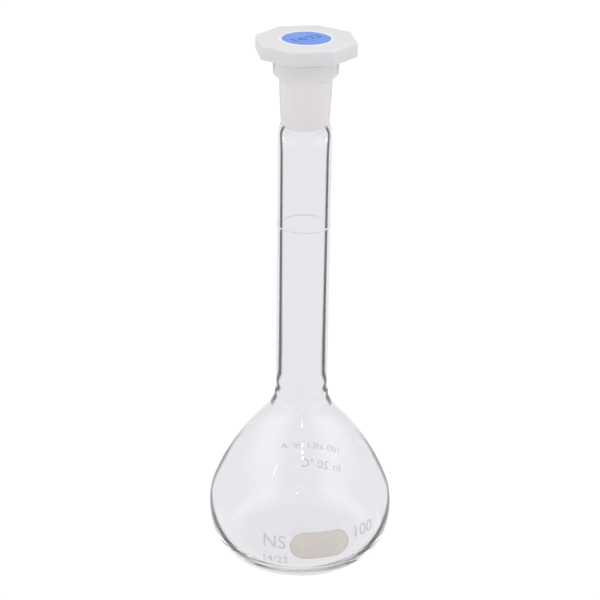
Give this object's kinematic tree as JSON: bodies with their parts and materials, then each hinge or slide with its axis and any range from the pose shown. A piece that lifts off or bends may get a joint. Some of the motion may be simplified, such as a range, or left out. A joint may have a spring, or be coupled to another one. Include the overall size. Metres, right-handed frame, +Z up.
{
  "type": "volumetric flask",
  "caption": "Pear-shaped glass measuring flask with a long ringed neck, closed by an octagonal plastic stopper with a coloured disc.",
  "frame": {"origin": "centre of the base, on the surface that the flask stands on", "axes": "+Z up along the neck's axis; the writing panel faces nearly towards -Y"},
  "size_m": [0.0608, 0.061, 0.1759],
  "materials": {
    "glass": "clear, polished",
    "line_enamel": "thin fired enamel",
    "panel_enamel": "matt fired enamel",
    "milky_plastic": "translucent, satin",
    "blue_plastic": "satin"
  },
  "bodies": {
    "vessel": {"flask": "glass", "calibration_ring": "line_enamel", "writing_panel": "panel_enamel"},
    "closure": {"stopper": "milky_plastic", "stopper_disc": "blue_plastic"}
  },
  "joints": [
    {"name": "stopper_lift", "type": "slide", "parent": "vessel", "child": "closure", "axis": [0, 0, 1], "range_m": [0, 0.05]}
  ]
}
